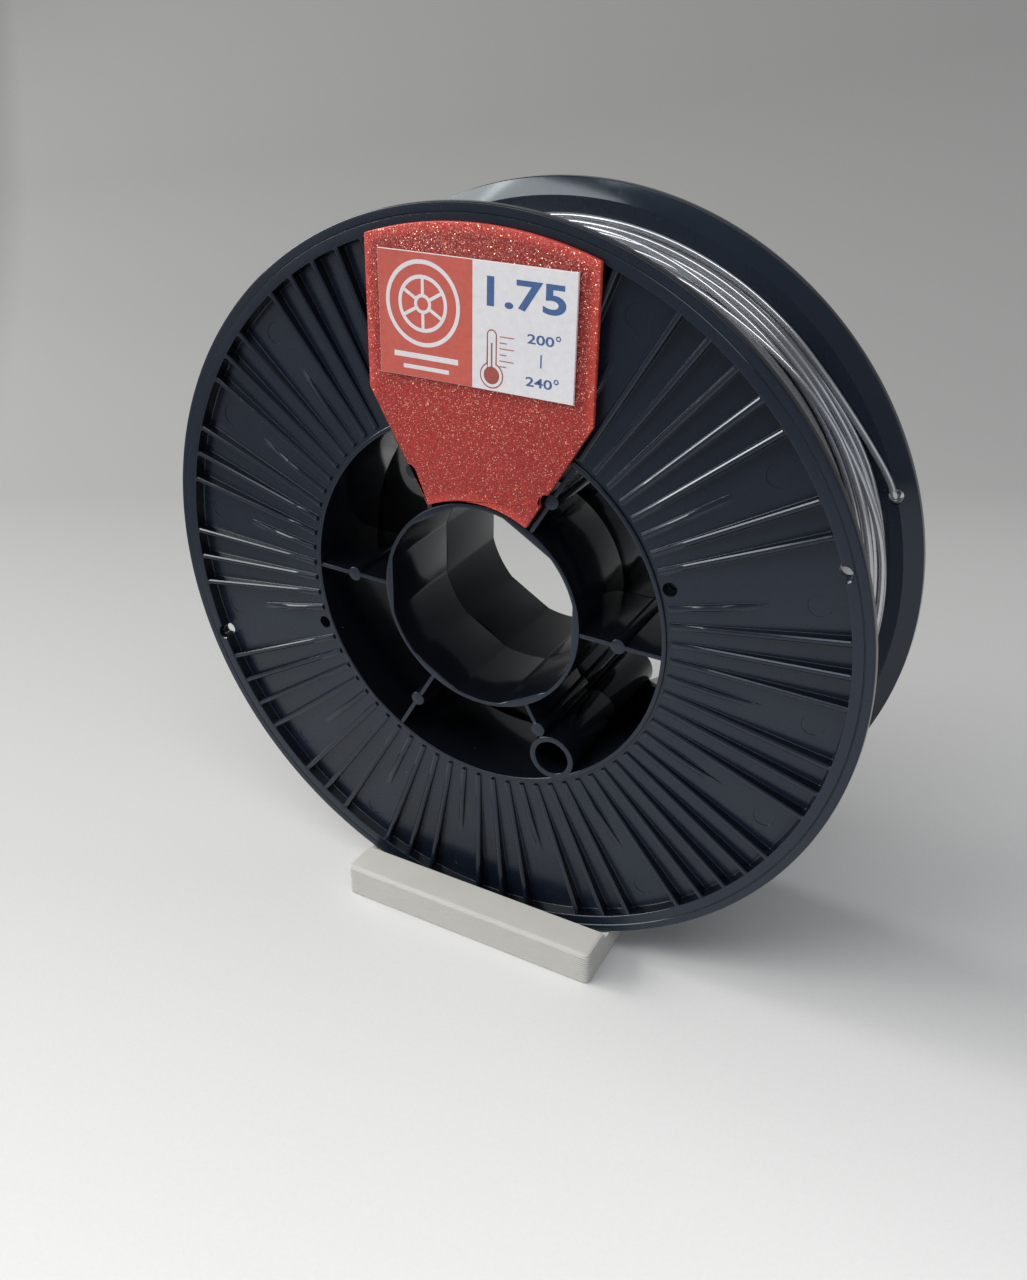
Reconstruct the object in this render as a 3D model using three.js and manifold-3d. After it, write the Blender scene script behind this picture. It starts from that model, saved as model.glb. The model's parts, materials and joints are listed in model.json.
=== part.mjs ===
// Filament spool: a two-half moulded spool with its filament winding, a label plate with a
// card on the front flange, and the slotted bar that the front flange stands in.
//
// Millimetres, +Z up. The spool's axis is parallel to Y and its front faces -Y. The origin is
// on the floor, under the middle of the whole assembly.
import * as THREE from 'three';
import { mergeVertices } from 'three/addons/utils/BufferGeometryUtils.js';
import Module from 'manifold-3d';

const wasm = await Module();
wasm.setup();

// ---- Driving dimensions ---------------------------------------------------------------

const GAP = 0.3; // clearance between neighbouring solids

// The spool as a whole. Depth is measured along Y from its front face.
const SPOOL_RADIUS = 100;
const SPOOL_WIDTH = 55;
const REST_TURN = 1.65; // degrees clockwise, seen from the front
const FEATURE_COUNT = 6; // webs, bosses and bore flats around the axis

// Flange: a dished panel inside a thicker rim, stiffened by radial ribs.
const FLANGE_THICKNESS = 4.7;
const RIM_EDGE_WIDTH = 2.5;
const RIM_BEVEL_RADIUS = 95.5;
const RIM_INNER_RADIUS = 95;
const PANEL_OUTER_RADIUS = 94.6;
const PANEL_DEPTH_AT_DRUM = 0.7;
const PANEL_DEPTH_AT_RIM = 3.1;

// Ribs sit on a 5 degree pitch. Each fourth one is short and runs out into the panel.
const RIB_PITCH = 5;
const RIB_WIDTH = 1.4;
const RIB_TOP_DEPTH = 0.15;
const RIB_ROOT_DEPTH = 3.8;
const RIB_INNER_RADIUS = 52.6;
const RIB_OUTER_RADIUS = 95.6;
const SHORT_RIB_SLOPE_RADIUS = 62;
const SHORT_RIB_END_RADIUS = 76;
const SHORT_RIB_END_DEPTH = 2.2;
const SHORT_RIB_ANGLES = [15, 35, 65, 85, 105, 135, 155, 175, 195, 225, 245, 265, 285, 305, 335, 355];

// Holes for parking the filament's end: one pair by the drum and one pair in the rim.
const HOLE_ANGLES = [20, 200];
const DRUM_HOLE_RADIUS = 1.8;
const DRUM_HOLE_PLACE = 54.1;
const RIM_HOLE_RADIUS = 1.8;
const RIM_HOLE_PLACE = 95.2;

// Drum wall, which the filament is wound on.
const DRUM_OUTER_RADIUS = 51.6;
const DRUM_INNER_RADIUS = 50.4;

// Hub tube with a bore that has a flat at each web.
const HUB_OUTER_RADIUS = 28.7;
const BORE_ACROSS_FLATS = 53;
const BORE_FLAT_HALF_ANGLE = 16;

// Webs that join the hub to the drum wall, each with an ejector boss.
const WEB_THICKNESS = 1.2;
const WEB_RECESS = 0.3;
const BOSS_RADIUS = 2;
const BOSS_PLACE = 39.1;

// Key tube, beside the drum wall on the web at 300 degrees.
const KEY_WEB = 6;
const KEY_TUBE_PLACE = 44.9;
const KEY_TUBE_OUTER_RADIUS = 6.4;
const KEY_TUBE_INNER_RADIUS = 4.8;

// Filament. The winding is full in front, hollow towards the rear, and heaped beside the
// rear flange, where its last turn lies on a lower step. Points are [radius, depth].
const FILAMENT_RADIUS = 0.875;
const WINDING_RADIUS = 92.6;
const WINDING_FRONT_END = [WINDING_RADIUS, 23];
const WINDING_HOLLOW = [86.6, 41];
const WINDING_HEAP = [91, 43.4];
const WINDING_STEP = [89.6, 47.9];
const LAST_TURN_RADIUS = 90.8;
const LAST_TURN_DEPTH = 49.1;

// The last turn's route from the winding into the rear rim's hole. Each point is
// [degrees from the hole, radius, depth].
const TAIL_ROUTE = [
  [80, LAST_TURN_RADIUS, LAST_TURN_DEPTH],
  [70, LAST_TURN_RADIUS, LAST_TURN_DEPTH],
  [60, LAST_TURN_RADIUS, LAST_TURN_DEPTH],
  [50, LAST_TURN_RADIUS, LAST_TURN_DEPTH],
  [40, LAST_TURN_RADIUS, LAST_TURN_DEPTH],
  [30, LAST_TURN_RADIUS, LAST_TURN_DEPTH],
  [21, 90.9, 49],
  [15.6, 91.5, 49],
  [11.6, 92.3, 49],
  [7.6, 93.4, 49],
  [4, 94.6, 48.9],
  [2, 95.1, 48.8],
  [0.8, 95.2, 48.9],
  [0.2, 95.2, 49.5],
  [0, 95.2, 50.4],
  [0, 95.2, 52.2],
  [0, 95.2, 54],
];

// Label plate and card.
const PLATE_THICKNESS = 1.4;
const PLATE_HALF_WIDTH = 30.2;
const PLATE_TOP_RADIUS = 95.9;
const PLATE_BOTTOM_RADIUS = 29.8;
const PLATE_EDGE_TO_WEB = 1.15; // from a web's middle plane to the plate's slanted edge
const PLATE_NOTCH_RADIUS = 2.3;
const CARD_WIDTH = 51.2;
const CARD_HEIGHT = 29;
const CARD_MIDDLE_HEIGHT = 73.9;
const CARD_THICKNESS = 0.7;

// Stand: a straight bar with a curved slot for the front flange.
const STAND_LENGTH = 80;
const STAND_HEIGHT = 10;
const STAND_FRONT_DEPTH = -13.4;
const STAND_REAR_DEPTH = 17;
const SLOT_FRONT_DEPTH = -3.0;
const SLOT_REAR_DEPTH = 6.5;
const SLOT_RADIUS = 100.5;
const SADDLE_CLEARANCE = 1.9; // from the winding to the hollow in the bar's rear part

// Facets around a full turn.
const SPOOL_FACETS = 72;
const BORE_ARC_STEPS = 4;
const HOLE_FACETS = 16;
const SLOT_FACETS = 144;
const TUBE_FACETS = 32;
const PLATE_TOP_STEPS = 12;
const PLATE_BOTTOM_STEPS = 8;
const TAIL_STEPS = 110;
const TAIL_FACETS_PER_QUARTER = 4;

// ---- Values worked out from them ---------------------------------------------------------

const HALF_WIDTH = SPOOL_WIDTH / 2;
const HALF_LENGTH_OF_MOULDING = HALF_WIDTH - GAP / 2;
const MIDDLE_DEPTH = (STAND_FRONT_DEPTH + SPOOL_WIDTH) / 2;
const HALF_FACET = Math.PI / SPOOL_FACETS;
const WEB_PITCH = 360 / FEATURE_COUNT;
const OVERCUT = 1; // how far a cutter stands out of the piece it cuts
const WELD = 1e-4; // points closer than this are one

// ---- Geometry helpers ---------------------------------------------------------------------

const radians = THREE.MathUtils.degToRad;

// A point at a radius and an angle; angles run from +X towards +Z.
function polar(radius, degrees) {
  const angle = radians(degrees);
  return new THREE.Vector2(radius * Math.cos(angle), radius * Math.sin(angle));
}

// Points along an arc about the axis, both ends included.
function arcPoints(radius, startDegrees, endDegrees, steps) {
  const points = [];
  for (let i = 0; i <= steps; i += 1) {
    points.push(polar(radius, startDegrees + ((endDegrees - startDegrees) * i) / steps));
  }
  return points;
}

// A body turned about the spool's axis. The profile is a list of [radius, depth] and runs
// anticlockwise. Its facets stand square to the floor at rest, at their true distance.
function turned(profile) {
  const stretch = 1 / Math.cos(HALF_FACET);
  const points = profile.map(([radius, depth]) => new THREE.Vector2(radius * stretch, depth));
  points.push(points[0].clone());
  return new THREE.LatheGeometry(points, SPOOL_FACETS, HALF_FACET - radians(REST_TURN));
}

// An outline in the X-Z plane, extruded from one depth to another.
function extrudedOutline(shape, frontDepth, rearDepth) {
  const geometry = new THREE.ExtrudeGeometry(shape, {
    depth: rearDepth - frontDepth,
    bevelEnabled: false,
  });
  geometry.rotateX(Math.PI / 2);
  geometry.translate(0, rearDepth, 0);
  return geometry;
}

// A round bar parallel to the spool's axis.
function roundBar(radius, frontDepth, rearDepth, facets, place = new THREE.Vector2()) {
  const geometry = new THREE.CylinderGeometry(radius, radius, rearDepth - frontDepth, facets);
  geometry.translate(place.x, (frontDepth + rearDepth) / 2, place.y);
  return geometry;
}

// Turn a geometry about the spool's axis, so that +X goes to the given angle.
function swung(geometry, degrees) {
  geometry.rotateY(-radians(degrees));
  return geometry;
}

// The solid for joining and cutting, from a closed three.js geometry.
function solid(geometry) {
  const bare = geometry.clone();
  bare.deleteAttribute('normal');
  bare.deleteAttribute('uv');
  const merged = mergeVertices(bare, WELD);
  const mesh = new wasm.Mesh({
    numProp: 3,
    vertProperties: new Float32Array(merged.attributes.position.array),
    triVerts: new Uint32Array(merged.index.array),
  });
  return new wasm.Manifold(mesh);
}

// Back from a solid to a three.js geometry.
function geometryOf(body) {
  const mesh = body.getMesh();
  const geometry = new THREE.BufferGeometry();
  geometry.setAttribute('position', new THREE.BufferAttribute(mesh.vertProperties, 3));
  geometry.setIndex(new THREE.BufferAttribute(mesh.triVerts, 1));
  return geometry;
}

// The same piece in the rear half: mirrored end for end, with its faces still pointing out.
function mirrored(geometry) {
  const copy = mergeVertices(geometry.clone(), WELD);
  copy.scale(1, -1, 1);
  copy.translate(0, SPOOL_WIDTH, 0);
  const index = copy.index.array;
  for (let i = 0; i < index.length; i += 3) {
    [index[i], index[i + 1]] = [index[i + 1], index[i]];
  }
  copy.deleteAttribute('normal');
  return copy;
}

// ---- Materials ------------------------------------------------------------------------------

function blackPlastic() {
  return new THREE.MeshStandardMaterial({ color: 0x15171b, roughness: 0.3, metalness: 0 });
}

function silverFilament() {
  return new THREE.MeshStandardMaterial({ color: 0x9b9ca0, roughness: 0.35, metalness: 0.3 });
}

function redGlitterPlastic() {
  return new THREE.MeshStandardMaterial({ color: 0xb0322f, roughness: 0.4, metalness: 0.1 });
}

function printedCard() {
  return new THREE.MeshStandardMaterial({ color: 0xd9d5dc, roughness: 0.6, metalness: 0 });
}

function whitePrintedPlastic() {
  return new THREE.MeshStandardMaterial({ color: 0xe4e3dd, roughness: 0.5, metalness: 0 });
}

// ---- Spool moulding ---------------------------------------------------------------------------

// One radial rib, as an outline in radius and depth, with its root inside the panel.
function ribGeometry(isShort) {
  const outline = isShort
    ? [
        [RIB_INNER_RADIUS, RIB_TOP_DEPTH],
        [SHORT_RIB_SLOPE_RADIUS, RIB_TOP_DEPTH],
        [SHORT_RIB_END_RADIUS, SHORT_RIB_END_DEPTH],
        [SHORT_RIB_END_RADIUS, RIB_ROOT_DEPTH],
        [RIB_INNER_RADIUS, RIB_ROOT_DEPTH],
      ]
    : [
        [RIB_INNER_RADIUS, RIB_TOP_DEPTH],
        [RIB_OUTER_RADIUS, RIB_TOP_DEPTH],
        [RIB_OUTER_RADIUS, RIB_ROOT_DEPTH],
        [RIB_INNER_RADIUS, RIB_ROOT_DEPTH],
      ];
  const shape = new THREE.Shape(outline.map(([radius, depth]) => new THREE.Vector2(radius, depth)));
  const geometry = new THREE.ExtrudeGeometry(shape, { depth: RIB_WIDTH, bevelEnabled: false });
  geometry.translate(0, 0, -RIB_WIDTH / 2);
  return geometry;
}

// The dished disc with its thicker, bevelled rim.
function flangeDisc() {
  return turned([
    [DRUM_OUTER_RADIUS + GAP, PANEL_DEPTH_AT_DRUM],
    [PANEL_OUTER_RADIUS, PANEL_DEPTH_AT_RIM],
    [RIM_INNER_RADIUS, 0],
    [SPOOL_RADIUS, 0],
    [SPOOL_RADIUS, RIM_EDGE_WIDTH],
    [RIM_BEVEL_RADIUS, FLANGE_THICKNESS],
    [DRUM_OUTER_RADIUS + GAP, FLANGE_THICKNESS],
  ]);
}

function flangeGeometry() {
  let flange = solid(flangeDisc());
  for (let angle = 0; angle < 360; angle += RIB_PITCH) {
    if (!HOLE_ANGLES.includes(angle)) {
      const rib = ribGeometry(SHORT_RIB_ANGLES.includes(angle));
      flange = flange.add(solid(swung(rib, angle)));
    }
  }
  for (const angle of HOLE_ANGLES) {
    const holes = [
      [DRUM_HOLE_RADIUS, DRUM_HOLE_PLACE],
      [RIM_HOLE_RADIUS, RIM_HOLE_PLACE],
    ];
    for (const [radius, place] of holes) {
      const centre = polar(place, angle);
      const drill = roundBar(radius, -OVERCUT, FLANGE_THICKNESS + OVERCUT, HOLE_FACETS, centre);
      flange = flange.subtract(solid(drill));
    }
  }
  return geometryOf(flange);
}

function drumWallGeometry() {
  return turned([
    [DRUM_INNER_RADIUS, 0],
    [DRUM_OUTER_RADIUS, 0],
    [DRUM_OUTER_RADIUS, HALF_LENGTH_OF_MOULDING],
    [DRUM_INNER_RADIUS, HALF_LENGTH_OF_MOULDING],
  ]);
}

// The bore's outline: a flat centred on each web, and short arcs between the flats.
function boreOutline() {
  const cornerRadius = BORE_ACROSS_FLATS / 2 / Math.cos(radians(BORE_FLAT_HALF_ANGLE));
  const points = [];
  for (let k = 0; k < FEATURE_COUNT; k += 1) {
    const arcStart = k * WEB_PITCH + BORE_FLAT_HALF_ANGLE;
    const arcEnd = (k + 1) * WEB_PITCH - BORE_FLAT_HALF_ANGLE;
    points.push(...arcPoints(cornerRadius, arcStart, arcEnd, BORE_ARC_STEPS));
  }
  return points;
}

function hubTubeGeometry() {
  const shape = new THREE.Shape(arcPoints(HUB_OUTER_RADIUS, 0, 360, SPOOL_FACETS).slice(0, -1));
  shape.holes.push(new THREE.Path(boreOutline().reverse()));
  return extrudedOutline(shape, 0, HALF_LENGTH_OF_MOULDING);
}

// One web along +X with its boss, from the hub to the drum wall or to the key tube.
function webGeometry(number) {
  const isKeyWeb = number === KEY_WEB;
  const start = HUB_OUTER_RADIUS + GAP;
  const keyTubeEdge = KEY_TUBE_PLACE - KEY_TUBE_OUTER_RADIUS - GAP;
  const end = isKeyWeb ? keyTubeEdge - BOSS_RADIUS : DRUM_INNER_RADIUS - GAP;
  const bossPlace = isKeyWeb ? end : BOSS_PLACE;
  const bar = new THREE.BoxGeometry(end - start, HALF_LENGTH_OF_MOULDING - WEB_RECESS, WEB_THICKNESS);
  bar.translate((start + end) / 2, (HALF_LENGTH_OF_MOULDING + WEB_RECESS) / 2, 0);
  const place = new THREE.Vector2(bossPlace, 0);
  const boss = roundBar(BOSS_RADIUS, WEB_RECESS / 2, HALF_LENGTH_OF_MOULDING, HOLE_FACETS, place);
  const web = solid(bar).add(solid(boss));
  return swung(geometryOf(web), (number - 1) * WEB_PITCH);
}

// The key tube leans into the drum wall, so it is cut back to clear it.
function keyTubeGeometry() {
  const place = polar(KEY_TUBE_PLACE, (KEY_WEB - 1) * WEB_PITCH);
  const length = HALF_LENGTH_OF_MOULDING;
  const outside = solid(roundBar(KEY_TUBE_OUTER_RADIUS, 0, length, TUBE_FACETS, place));
  const farEnd = length + OVERCUT;
  const inside = solid(roundBar(KEY_TUBE_INNER_RADIUS, -OVERCUT, farEnd, TUBE_FACETS, place));
  const room = solid(roundBar(DRUM_INNER_RADIUS - GAP, -OVERCUT, farEnd, SPOOL_FACETS));
  return geometryOf(outside.subtract(inside).intersect(room));
}

// ---- Filament ---------------------------------------------------------------------------------

function windingGeometry() {
  const front = FLANGE_THICKNESS + GAP;
  const rear = SPOOL_WIDTH - front;
  const inner = DRUM_OUTER_RADIUS + GAP;
  return turned([
    [inner, front],
    [WINDING_RADIUS, front],
    WINDING_FRONT_END,
    WINDING_HOLLOW,
    WINDING_HEAP,
    [WINDING_HEAP[0], WINDING_STEP[1]],
    WINDING_STEP,
    [WINDING_STEP[0], rear],
    [inner, rear],
  ]);
}

// The filament's loose end: off the winding, along the rear flange and into its rim hole.
function tailGeometry() {
  const points = TAIL_ROUTE.map(([degrees, radius, depth]) => {
    const place = polar(radius, HOLE_ANGLES[0] + degrees);
    return new THREE.Vector3(place.x, depth, place.y);
  });
  const path = new THREE.CatmullRomCurve3(points, false, 'centripetal');
  const section = new THREE.Shape();
  section.absarc(0, 0, FILAMENT_RADIUS, 0, 2 * Math.PI, false);
  return new THREE.ExtrudeGeometry(section, {
    steps: TAIL_STEPS,
    curveSegments: TAIL_FACETS_PER_QUARTER,
    extrudePath: path,
  });
}

// ---- Label --------------------------------------------------------------------------------------

// The plate's outline: arcs at its top and bottom, upright sides, then sides along the webs.
function plateGeometry() {
  const webLean = radians(90 - WEB_PITCH); // from upright
  const topAngle = THREE.MathUtils.radToDeg(Math.acos(PLATE_HALF_WIDTH / PLATE_TOP_RADIUS));
  const edgeShift = PLATE_EDGE_TO_WEB / Math.cos(webLean);
  const slantTop = (PLATE_HALF_WIDTH + edgeShift) / Math.tan(webLean);
  const edgeSwing = THREE.MathUtils.radToDeg(Math.asin(PLATE_EDGE_TO_WEB / PLATE_BOTTOM_RADIUS));
  const bottomAngle = WEB_PITCH + edgeSwing;
  const outline = [
    ...arcPoints(PLATE_TOP_RADIUS, topAngle, 180 - topAngle, PLATE_TOP_STEPS),
    new THREE.Vector2(-PLATE_HALF_WIDTH, slantTop),
    ...arcPoints(PLATE_BOTTOM_RADIUS, 180 - bottomAngle, bottomAngle, PLATE_BOTTOM_STEPS),
    new THREE.Vector2(PLATE_HALF_WIDTH, slantTop),
  ];
  const rear = -GAP;
  const front = rear - PLATE_THICKNESS;
  let plate = solid(extrudedOutline(new THREE.Shape(outline), front, rear));
  for (const angle of [WEB_PITCH, 2 * WEB_PITCH]) {
    const centre = polar(BOSS_PLACE, angle);
    const notch = roundBar(PLATE_NOTCH_RADIUS, front - OVERCUT, rear + OVERCUT, HOLE_FACETS, centre);
    plate = plate.subtract(solid(notch));
  }
  return geometryOf(plate);
}

function cardGeometry() {
  const rear = -GAP - PLATE_THICKNESS - GAP;
  const geometry = new THREE.BoxGeometry(CARD_WIDTH, CARD_THICKNESS, CARD_HEIGHT);
  geometry.translate(0, rear - CARD_THICKNESS / 2, CARD_MIDDLE_HEIGHT);
  return geometry;
}

// ---- Stand --------------------------------------------------------------------------------------

function standGeometry() {
  const depth = STAND_REAR_DEPTH - STAND_FRONT_DEPTH;
  const block = new THREE.BoxGeometry(STAND_LENGTH, depth, STAND_HEIGHT);
  block.translate(0, STAND_FRONT_DEPTH + depth / 2, STAND_HEIGHT / 2 - SPOOL_RADIUS);
  const slot = roundBar(SLOT_RADIUS, SLOT_FRONT_DEPTH, SLOT_REAR_DEPTH, SLOT_FACETS);
  const saddleRadius = WINDING_RADIUS + SADDLE_CLEARANCE;
  const saddle = roundBar(saddleRadius, 0, STAND_REAR_DEPTH + OVERCUT, SLOT_FACETS);
  return geometryOf(solid(block).subtract(solid(slot)).subtract(solid(saddle)));
}

// ---- Assembly -----------------------------------------------------------------------------------

function named(name, geometry, material) {
  const mesh = new THREE.Mesh(geometry, material);
  mesh.name = name;
  return mesh;
}

// A piece of the moulding and its twin in the rear half.
function bothHalves(name, geometry) {
  return [
    named(`front_${name}`, geometry, blackPlastic()),
    named(`rear_${name}`, mirrored(geometry), blackPlastic()),
  ];
}

function spoolGroup() {
  const group = new THREE.Group();
  group.add(...bothHalves('flange', flangeGeometry()));
  group.add(...bothHalves('drum_wall', drumWallGeometry()));
  group.add(...bothHalves('hub_tube', hubTubeGeometry()));
  group.add(...bothHalves('key_tube', keyTubeGeometry()));
  for (let number = 1; number <= FEATURE_COUNT; number += 1) {
    group.add(...bothHalves(`web_${number}`, webGeometry(number)));
  }
  group.add(named('filament_winding', windingGeometry(), silverFilament()));
  group.add(named('filament_tail', tailGeometry(), silverFilament()));
  group.add(named('label_plate', plateGeometry(), redGlitterPlastic()));
  group.add(named('label_card', cardGeometry(), printedCard()));
  group.rotation.y = radians(REST_TURN);
  return group;
}

const assembly = new THREE.Group();
assembly.add(spoolGroup());
assembly.add(named('stand_block', standGeometry(), whitePrintedPlastic()));
assembly.position.set(0, -MIDDLE_DEPTH, SPOOL_RADIUS);

export default assembly;
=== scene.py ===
"""Filament spool: the looks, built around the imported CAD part.

Metres, in the CAD part's frame. Pieces of the spool are drawn in millimetres in the spool's own
frame (X right, Y in depth from its front face, Z up, about its axis) and then put in place.
"""

import json
import math
import random

import bmesh
import bpy
import numpy as np
from mathutils import Matrix, Vector


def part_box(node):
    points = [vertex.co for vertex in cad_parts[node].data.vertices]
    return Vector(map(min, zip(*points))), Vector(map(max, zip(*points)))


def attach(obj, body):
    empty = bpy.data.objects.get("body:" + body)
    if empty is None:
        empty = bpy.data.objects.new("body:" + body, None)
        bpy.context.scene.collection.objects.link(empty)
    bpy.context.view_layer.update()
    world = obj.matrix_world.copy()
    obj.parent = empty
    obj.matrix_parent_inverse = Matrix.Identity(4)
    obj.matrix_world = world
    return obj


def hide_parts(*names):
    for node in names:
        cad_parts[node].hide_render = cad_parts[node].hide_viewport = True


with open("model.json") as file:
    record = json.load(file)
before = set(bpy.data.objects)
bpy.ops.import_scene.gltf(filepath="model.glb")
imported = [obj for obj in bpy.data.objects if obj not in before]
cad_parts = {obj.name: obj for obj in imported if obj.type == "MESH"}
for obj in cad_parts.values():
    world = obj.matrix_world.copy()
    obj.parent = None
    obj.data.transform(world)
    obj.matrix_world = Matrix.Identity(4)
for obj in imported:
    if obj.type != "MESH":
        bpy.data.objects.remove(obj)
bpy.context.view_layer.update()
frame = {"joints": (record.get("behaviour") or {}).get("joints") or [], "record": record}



def linked(name, data):
    """A new object in the scene."""
    obj = bpy.data.objects.new(name, data)
    bpy.context.scene.collection.objects.link(obj)
    return obj


# ---- Camera ----

CAMERA_PLACE = Vector((0.1334, -0.2439, 0.2342))
CAMERA_RIGHT = Vector((0.87719, 0.48011, -0.00649))
CAMERA_FORWARD = Vector((-0.43150, 0.78230, -0.44923))
CAMERA_LENS = 31.897
CAMERA_SHIFT_UP = -0.0343

camera_data = bpy.data.cameras.new("camera")
camera = linked("camera", camera_data)
camera_up = CAMERA_RIGHT.cross(CAMERA_FORWARD)
camera_turn = Matrix((CAMERA_RIGHT, camera_up, -CAMERA_FORWARD)).transposed()
camera.matrix_world = Matrix.Translation(CAMERA_PLACE) @ camera_turn.to_4x4()
camera_data.lens = CAMERA_LENS
camera_data.shift_y = CAMERA_SHIFT_UP
camera_data.clip_start = 0.01
camera_data.clip_end = 50
bpy.context.scene.camera = camera
bpy.context.scene.view_settings.view_transform = "Standard"

# ---- Measures from the frame ----

MM = 0.001
axis_point = Vector(frame["joints"][0]["pos_m"])
front_low, front_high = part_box("front_flange")
rear_low, rear_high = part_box("rear_flange")
stand_low, stand_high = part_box("stand_block")
upper_flat = next(m for m in frame["record"]["mounts"] if m["name"] == "bore_flat_upper_right")
UPPER_FLAT_ANGLE = 60  # in the spool's own frame
rest_turn = math.radians(UPPER_FLAT_ANGLE) - math.atan2(-upper_flat["axis"][2], -upper_flat["axis"][0])

SPOOL_RADIUS = (front_high.z - front_low.z) / 2 / MM
SPOOL_WIDTH = (rear_high.y - front_low.y) / MM
HALF_WIDTH = SPOOL_WIDTH / 2
TO_ROW = (
    Matrix.Translation((axis_point.x, front_low.y, axis_point.z))
    @ Matrix.Rotation(rest_turn, 4, "Y")
    @ Matrix.Scale(MM, 4)
)

# ---- Measures of the spool, in its own frame ----

FLANGE_THICKNESS = 4.7
RIM_EDGE_WIDTH = 2.5
RIM_BEVEL_RADIUS = 95.5
RIM_INNER_RADIUS = 95
RIM_GROOVE_RADIUS = 97.7
PANEL_OUTER_RADIUS = 94.6
PANEL_DEPTH_AT_DRUM = 0.7
PANEL_DEPTH_AT_RIM = 3.1
FLANGE_INNER_RADIUS = 51.2  # inside the drum wall

RIB_PITCH = 5
RIB_TOP_DEPTH = 0.15
RIB_START_RADIUS = 52.6
SHORT_RIB_SLOPE_RADIUS = 62
SHORT_RIB_END_RADIUS = 76
SHORT_RIB_ANGLES = [15, 35, 65, 85, 105, 135, 155, 175, 195, 225, 245, 265, 285, 305, 335, 355]
HOLE_ANGLES = [20, 200]
HOLE_RADIUS = 1.8
DRUM_HOLE_PLACE = 54.1
RIM_HOLE_PLACE = 95.2
EJECTOR_MARK_PLACE = 88
EJECTOR_MARK_RADIUS = 2.75
EJECTOR_MARK_DEPTH = 0.12

DRUM_OUTER_RADIUS = 51.6
DRUM_INNER_RADIUS = 50.4
HUB_OUTER_RADIUS = 28.7
BORE_ACROSS_FLATS = 53
BORE_FLAT_HALF_ANGLE = 16
WEB_COUNT = 6
WEB_PITCH = 360 / WEB_COUNT
WEB_THICKNESS = 1.2
WEB_RECESS = 0.3
BOSS_RADIUS = 2
BOSS_PLACE = 39.1
KEY_WEB = 6
KEY_TUBE_PLACE = 44.9
KEY_TUBE_OUTER_RADIUS = 6.4
KEY_TUBE_INNER_RADIUS = 4.8

FILAMENT_RADIUS = 0.875
STRAND_SIDES = 14
UNDER_STRAND_SIDES = 8
LAST_TURN_RADIUS = 90.8
LAST_TURN_DEPTH = 49.1

PLATE_FRONT = -1.7
PLATE_BACK = -0.3
PLATE_HALF_WIDTH = 30.2
PLATE_TOP_RADIUS = 95.9
PLATE_BOTTOM_RADIUS = 29.8
PLATE_EDGE_TO_WEB = 1.15
PLATE_NOTCH_RADIUS = 2.3

CARD_FRONT = -2.7
CARD_BACK = -2.0
CARD_WIDTH = 51.2
CARD_HEIGHT = 29
CARD_MIDDLE_HEIGHT = 73.9

# ---- Material nodes ----


class Finish:
    """A node material, with short calls to add and join its nodes."""

    def __init__(self, name, **shader):
        self.material = bpy.data.materials.new(name)
        self.material.use_nodes = True
        self.tree = self.material.node_tree
        self.shader = self.tree.nodes["Principled BSDF"]
        for socket, value in shader.items():
            self.shader.inputs[socket.replace("_", " ")].default_value = value
        self.place = self.node("ShaderNodeTexCoord").outputs["Object"]

    def node(self, kind, inputs=None, **settings):
        made = self.tree.nodes.new(kind)
        for key, value in settings.items():
            setattr(made, key, value)
        for socket, value in (inputs or {}).items():
            if isinstance(value, bpy.types.NodeSocket):
                self.tree.links.new(value, made.inputs[socket])
            else:
                made.inputs[socket].default_value = value
        return made

    def noise(self, scale, detail=3.0, roughness=0.55):
        made = self.node(
            "ShaderNodeTexNoise",
            {"Vector": self.place, "Scale": scale, "Detail": detail, "Roughness": roughness},
        )
        return made.outputs["Fac"]

    def cells(self, scale, output):
        made = self.node("ShaderNodeTexVoronoi", {"Vector": self.place, "Scale": scale})
        return made.outputs[output]

    def ramp(self, value, low, high, to_low=0.0, to_high=1.0):
        made = self.node(
            "ShaderNodeMapRange",
            {"Value": value, "From Min": low, "From Max": high,
             "To Min": to_low, "To Max": to_high},
            clamp=True,
        )
        return made.outputs["Result"]

    def math(self, operation, first, second=0.0):
        made = self.node("ShaderNodeMath", {0: first, 1: second}, operation=operation)
        return made.outputs[0]

    def plus(self, first, second):
        return self.math("ADD", first, second)

    def minus(self, first, second):
        return self.math("SUBTRACT", first, second)

    def times(self, first, second):
        return self.math("MULTIPLY", first, second)

    def mix(self, factor, first, second):
        made = self.node("ShaderNodeMix", {0: factor, 6: first, 7: second}, data_type="RGBA")
        return made.outputs[2]

    def vector(self, operation, first, second=(0, 0, 0), output="Vector"):
        made = self.node("ShaderNodeVectorMath", {0: first, 1: second}, operation=operation)
        return made.outputs[output]

    def along(self, vector, direction):
        return self.vector("DOT_PRODUCT", vector, direction, "Value")

    def bump(self, height, distance, strength=1.0, under=None):
        inputs = {"Height": height, "Distance": distance, "Strength": strength}
        if under is not None:
            inputs["Normal"] = under
        return self.node("ShaderNodeBump", inputs).outputs["Normal"]

    def set(self, socket, value):
        self.tree.links.new(value, self.shader.inputs[socket])


def grey(level):
    return (level, level, level, 1)


DUST_CELLS_PER_METRE = 150
SLOPING, SQUARE = 0.94, 0.985  # how far a face's normal lies along Y: the panels slope


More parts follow.
